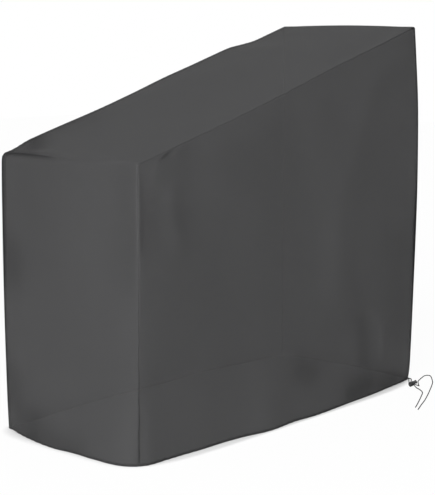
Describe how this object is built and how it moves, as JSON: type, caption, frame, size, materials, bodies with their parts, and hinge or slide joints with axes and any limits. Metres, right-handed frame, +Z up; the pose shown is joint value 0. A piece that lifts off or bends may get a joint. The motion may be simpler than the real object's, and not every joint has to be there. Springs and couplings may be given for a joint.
{
  "type": "fitted exercise bike cover",
  "caption": "Fitted see-through dust cover with a sloping top for an upright exercise bike, open below, with a drawcord and a sprung cord lock at its hem.",
  "frame": {"origin": "under the middle of the sloping top, where the cover rests on the machine it is put over; the hem's lower edge is 0.976 m below it", "axes": "+X along the cover towards its high end, +Y across it to the far side, +Z up"},
  "size_m": [1.3866, 0.8171, 1.1597],
  "materials": {
    "cover_cloth": "fine plain weave, coated, slightly see-through, soft sheen",
    "drawcord": "braided cord, matt",
    "lock_plastic": "moulded, satin"
  },
  "bodies": {
    "cover": {"strip_panel": "cover_cloth", "near_panel": "cover_cloth", "far_panel": "cover_cloth", "cord_short": "drawcord", "cord_long": "drawcord", "lock_barrel": "lock_plastic"},
    "button": {"lock_button": "lock_plastic"}
  },
  "joints": [
    {"name": "button_press", "type": "slide", "parent": "cover", "child": "button", "axis": [-0.8394, 0.4157, -0.3502], "range_m": [0, 0.0034], "stiffness_N_per_m": 400}
  ]
}
